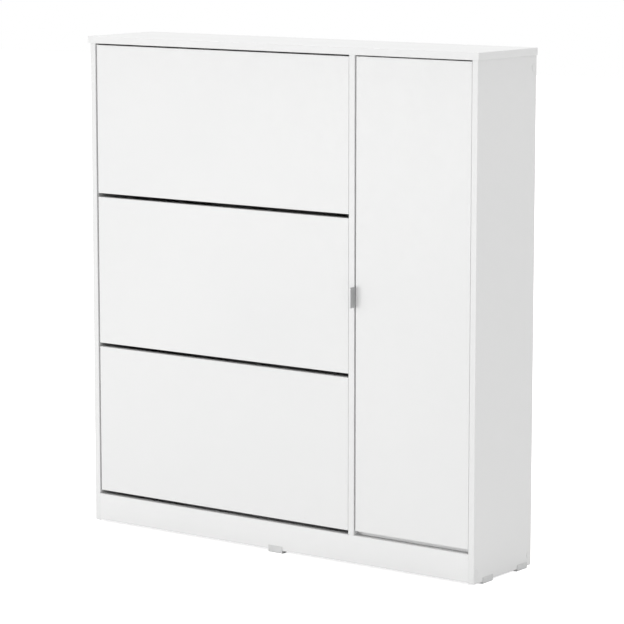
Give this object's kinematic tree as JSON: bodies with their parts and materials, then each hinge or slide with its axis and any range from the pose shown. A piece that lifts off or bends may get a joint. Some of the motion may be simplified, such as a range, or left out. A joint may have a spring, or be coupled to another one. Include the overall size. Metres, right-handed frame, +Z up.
{
  "type": "shoe cabinet",
  "caption": "Tall, shallow white shoe cabinet: tilting flaps with racks for shoes, stacked beside a full-height door with shelves, on a plinth with foot glides.",
  "frame": {"origin": "on the floor, at the middle of the outer box, handle tab included", "axes": "+Z up, -Y out of the fronts, +X to the right of a person who faces the fronts"},
  "size_m": [1.113, 0.2566, 1.185],
  "materials": {
    "white_board": "satin white melamine",
    "hardboard": "raw brown hardboard",
    "rack_sheet": "black faced hardboard",
    "bracket_plastic": "black moulded plastic, fine grain",
    "steel": "zinc-plated",
    "hinge_steel": "nickel-plated",
    "zinc": "die-cast zinc",
    "beech": "plain beech",
    "cap_plastic": "white",
    "glide_plastic": "light grey",
    "handle_metal": "satin anodised"
  },
  "bodies": {
    "carcass": {"side_panel_left": "white_board", "side_panel_right": "white_board", "top_panel": "white_board", "divider_panel": "white_board", "plinth_board": "white_board", "rear_rail_lower": "white_board", "rear_rail_upper": "white_board", "bottom_board": "white_board", "rear_sheet_left": "hardboard", "rear_sheet_right": "hardboard", "shelf_1": "white_board", "shelf_2": "white_board", "shelf_3": "white_board", "shelf_4": "white_board", "shelf_pins": "steel", "side_foot_glides": "glide_plastic", "rail_foot_glides": "glide_plastic", "glide_nails": "steel", "carcass_screws": "steel", "cover_caps": "cap_plastic", "cam_locks": "zinc", "cam_bolts": "steel", "dowels": "beech", "sheet_nails": "steel", "flap_pivot_pins": "steel", "flap_stop_pins": "steel", "hinge_arms": "hinge_steel", "hinge_plates": "hinge_steel", "hinge_plate_screws": "steel"},
    "bottom_flap": {"bottom_flap_front": "white_board", "bottom_flap_bracket_left": "bracket_plastic", "bottom_flap_bracket_right": "bracket_plastic", "bottom_rack_front_floor": "rack_sheet", "bottom_rack_partition": "rack_sheet", "bottom_rack_rear_floor": "rack_sheet", "bottom_rack_rear_plate": "rack_sheet", "bottom_flap_screws": "steel"},
    "middle_flap": {"middle_flap_front": "white_board", "middle_flap_bracket_left": "bracket_plastic", "middle_flap_bracket_right": "bracket_plastic", "middle_rack_front_floor": "rack_sheet", "middle_rack_partition": "rack_sheet", "middle_rack_rear_floor": "rack_sheet", "middle_rack_rear_plate": "rack_sheet", "middle_flap_screws": "steel"},
    "top_flap": {"top_flap_front": "white_board", "top_flap_bracket_left": "bracket_plastic", "top_flap_bracket_right": "bracket_plastic", "top_rack_front_floor": "rack_sheet", "top_rack_partition": "rack_sheet", "top_rack_rear_floor": "rack_sheet", "top_rack_rear_plate": "rack_sheet", "top_flap_screws": "steel"},
    "door": {"door_panel": "white_board", "hinge_cups": "hinge_steel", "hinge_links": "hinge_steel", "door_screws": "steel", "handle_tab": "handle_metal"}
  },
  "joints": [
    {"name": "bottom_flap_tilt", "type": "hinge", "parent": "carcass", "child": "bottom_flap", "pos_m": [-0.164, -0.08525, 0.1185], "axis": [1, 0, 0], "range_deg": [0, 42]},
    {"name": "middle_flap_tilt", "type": "hinge", "parent": "carcass", "child": "middle_flap", "pos_m": [-0.164, -0.08525, 0.4825], "axis": [1, 0, 0], "range_deg": [0, 42]},
    {"name": "top_flap_tilt", "type": "hinge", "parent": "carcass", "child": "top_flap", "pos_m": [-0.164, -0.08525, 0.8465], "axis": [1, 0, 0], "range_deg": [0, 42]},
    {"name": "door_swing", "type": "hinge", "parent": "carcass", "child": "door", "pos_m": [0.5355, -0.10825, 0.624], "axis": [0, 0, 1], "range_deg": [0, 95]}
  ]
}
